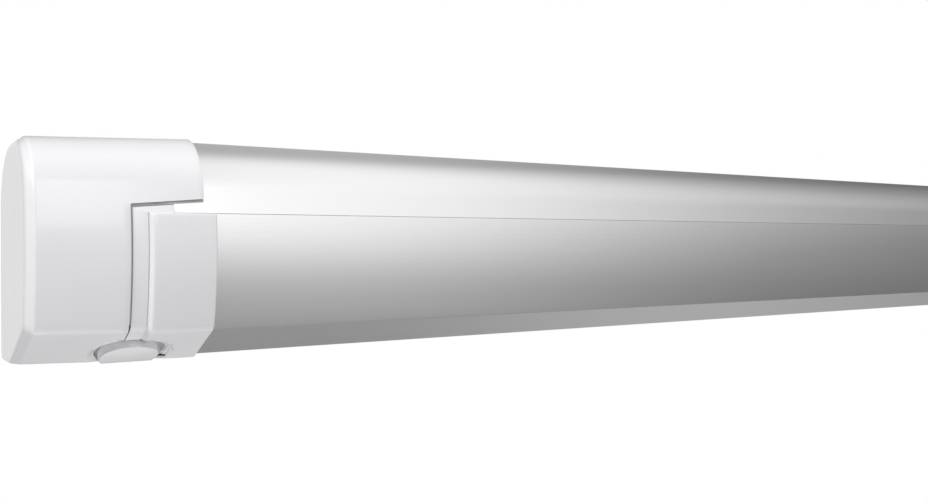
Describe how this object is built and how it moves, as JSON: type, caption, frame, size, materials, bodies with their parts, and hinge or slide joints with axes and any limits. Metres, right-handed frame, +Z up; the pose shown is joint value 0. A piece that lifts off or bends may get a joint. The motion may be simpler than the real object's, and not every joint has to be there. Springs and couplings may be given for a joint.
{
  "type": "roll out awning",
  "caption": "Wall-mounted cassette awning: an aluminium case whose lead rail rolls out on folding arms with its fabric, folding legs and a crank drive, closed by moulded end caps.",
  "frame": {"origin": "on the wall plane, at the middle of the length and at mid height of the case", "axes": "+X along the case to the right seen from the front, +Y into the wall, +Z up"},
  "size_m": [1.9, 0.097, 0.136],
  "materials": {
    "case": "brushed anodised",
    "cap": "satin white",
    "rubber": "matt",
    "bracket": "mill",
    "casting": "grey",
    "steel": "satin",
    "drive": "black",
    "brass": "satin",
    "fabric": "woven",
    "arm": "pale grey",
    "lever": "orange"
  },
  "bodies": {
    "cassette": {"housing": "case", "wall_seal": "rubber", "front_seal": "rubber", "wall_brackets": "bracket", "bracket_screws": "steel", "end_plates": "bracket", "end_cap_left": "cap", "end_cap_right": "cap", "cap_screws": "steel", "shoulder_brackets": "casting", "shoulder_pins": "steel", "gear_case": "casting", "gear_cover": "drive", "idler_case": "casting", "blank_plug": "cap"},
    "roller": {"roller_tube": "case", "roller_plug_left": "drive", "roller_plug_right": "drive", "fabric_roll": "fabric", "drive_gear": "brass"},
    "crank": {"crank_hub": "cap", "pinion_shaft": "steel"},
    "fabric_front": {"fabric": "fabric"},
    "upper_arm_left": {"upper_arm_left": "arm", "shoulder_knuckle_left": "casting", "elbow_fork_left": "casting", "elbow_pin_left": "steel", "arm_spring_left": "steel"},
    "forearm_left": {"forearm_left": "arm", "elbow_tongue_left": "casting", "wrist_knuckle_left": "casting"},
    "upper_arm_right": {"upper_arm_right": "arm", "shoulder_knuckle_right": "casting", "elbow_fork_right": "casting", "elbow_pin_right": "steel", "arm_spring_right": "steel"},
    "forearm_right": {"forearm_right": "arm", "elbow_tongue_right": "casting", "wrist_knuckle_right": "casting"},
    "lead_rail": {"lead_rail": "case", "lead_cap_left": "cap", "lead_cap_right": "cap", "wrist_brackets": "casting", "wrist_pins": "steel", "leg_brackets": "drive", "leg_pins": "steel"},
    "leg_left": {"leg_outer_left": "case", "leg_knuckle_left": "drive", "leg_clamp_left": "drive"},
    "leg_lever_left": {"leg_lever_left": "lever"},
    "leg_middle_left": {"leg_middle_left": "case"},
    "leg_inner_left": {"leg_inner_left": "case", "leg_foot_left": "rubber"},
    "leg_right": {"leg_outer_right": "case", "leg_knuckle_right": "drive", "leg_clamp_right": "drive"},
    "leg_lever_right": {"leg_lever_right": "lever"},
    "leg_middle_right": {"leg_middle_right": "case"},
    "leg_inner_right": {"leg_inner_right": "case", "leg_foot_right": "rubber"}
  },
  "joints": [
    {"name": "awning_open", "type": "hinge", "parent": "cassette", "child": "upper_arm_left", "pos_m": [-0.79487, -0.033, -0.02416], "axis": [0, 0.1219, -0.9925], "range_deg": [0, 76]},
    {"name": "elbow_left", "type": "hinge", "parent": "upper_arm_left", "child": "forearm_left", "pos_m": [-0.07512, -0.05186, -0.02648], "axis": [0, 0.1219, -0.9925], "range_deg": [-152, 0]},
    {"name": "wrist_left", "type": "hinge", "parent": "forearm_left", "child": "lead_rail", "pos_m": [-0.79487, -0.07072, -0.02879], "axis": [0, 0.1219, -0.9925], "range_deg": [0, 76]},
    {"name": "shoulder_right", "type": "hinge", "parent": "cassette", "child": "upper_arm_right", "pos_m": [0.79487, -0.033, -0.02416], "axis": [0, 0.1219, -0.9925], "range_deg": [-76, 0]},
    {"name": "elbow_right", "type": "hinge", "parent": "upper_arm_right", "child": "forearm_right", "pos_m": [0.07512, -0.05186, -0.02648], "axis": [0, 0.1219, -0.9925], "range_deg": [0, 152]},
    {"name": "fabric_out", "type": "slide", "parent": "cassette", "child": "fabric_front", "axis": [0, -0.9925, -0.1219], "range_m": [0, 1.36793], "deforming": ["fabric"]},
    {"name": "roller_turn", "type": "hinge", "parent": "cassette", "child": "roller", "pos_m": [0, -0.05441, 0.028], "axis": [1, 0, 0], "range_deg": [-2736, 0]},
    {"name": "crank_turn", "type": "hinge", "parent": "cassette", "child": "crank", "pos_m": [-0.8907, -0.05441, -0.066], "axis": [0, 0, 1], "range_deg": [-5472, 0]},
    {"name": "leg_swing_left", "type": "hinge", "parent": "lead_rail", "child": "leg_left", "pos_m": [-0.8016, -0.0344, -0.0563], "axis": [0, 1, 0], "range_deg": [0, 90]},
    {"name": "leg_run_left", "type": "slide", "parent": "leg_left", "child": "leg_middle_left", "axis": [1, 0, 0], "range_m": [0, 0.54]},
    {"name": "foot_run_left", "type": "slide", "parent": "leg_middle_left", "child": "leg_inner_left", "axis": [1, 0, 0], "range_m": [0, 0.5]},
    {"name": "leg_lock_left", "type": "hinge", "parent": "leg_left", "child": "leg_lever_left", "pos_m": [-0.0926, -0.0344, -0.0635], "axis": [0, -1, 0], "range_deg": [0, 75]},
    {"name": "leg_swing_right", "type": "hinge", "parent": "lead_rail", "child": "leg_right", "pos_m": [0.8016, -0.0344, -0.0563], "axis": [0, -1, 0], "range_deg": [0, 90]},
    {"name": "leg_run_right", "type": "slide", "parent": "leg_right", "child": "leg_middle_right", "axis": [-1, 0, 0], "range_m": [0, 0.54]},
    {"name": "foot_run_right", "type": "slide", "parent": "leg_middle_right", "child": "leg_inner_right", "axis": [-1, 0, 0], "range_m": [0, 0.5]},
    {"name": "leg_lock_right", "type": "hinge", "parent": "leg_right", "child": "leg_lever_right", "pos_m": [0.0926, -0.0344, -0.0635], "axis": [0, 1, 0], "range_deg": [0, 75]}
  ],
  "couplings": [
    {"joint": "elbow_left", "follows": "awning_open", "ratio": -2},
    {"joint": "wrist_left", "follows": "awning_open", "ratio": 1},
    {"joint": "shoulder_right", "follows": "awning_open", "ratio": -1},
    {"joint": "elbow_right", "follows": "awning_open", "ratio": 2},
    {"joint": "fabric_out", "follows": "awning_open", "m_per_rad": 1.0313},
    {"joint": "roller_turn", "follows": "awning_open", "ratio": -36},
    {"joint": "crank_turn", "follows": "awning_open", "ratio": -72},
    {"joint": "leg_run_left", "follows": "leg_swing_left", "m_per_rad": 0.34377},
    {"joint": "foot_run_left", "follows": "leg_swing_left", "m_per_rad": 0.31831},
    {"joint": "leg_run_right", "follows": "leg_swing_right", "m_per_rad": 0.34377},
    {"joint": "foot_run_right", "follows": "leg_swing_right", "m_per_rad": 0.31831}
  ]
}
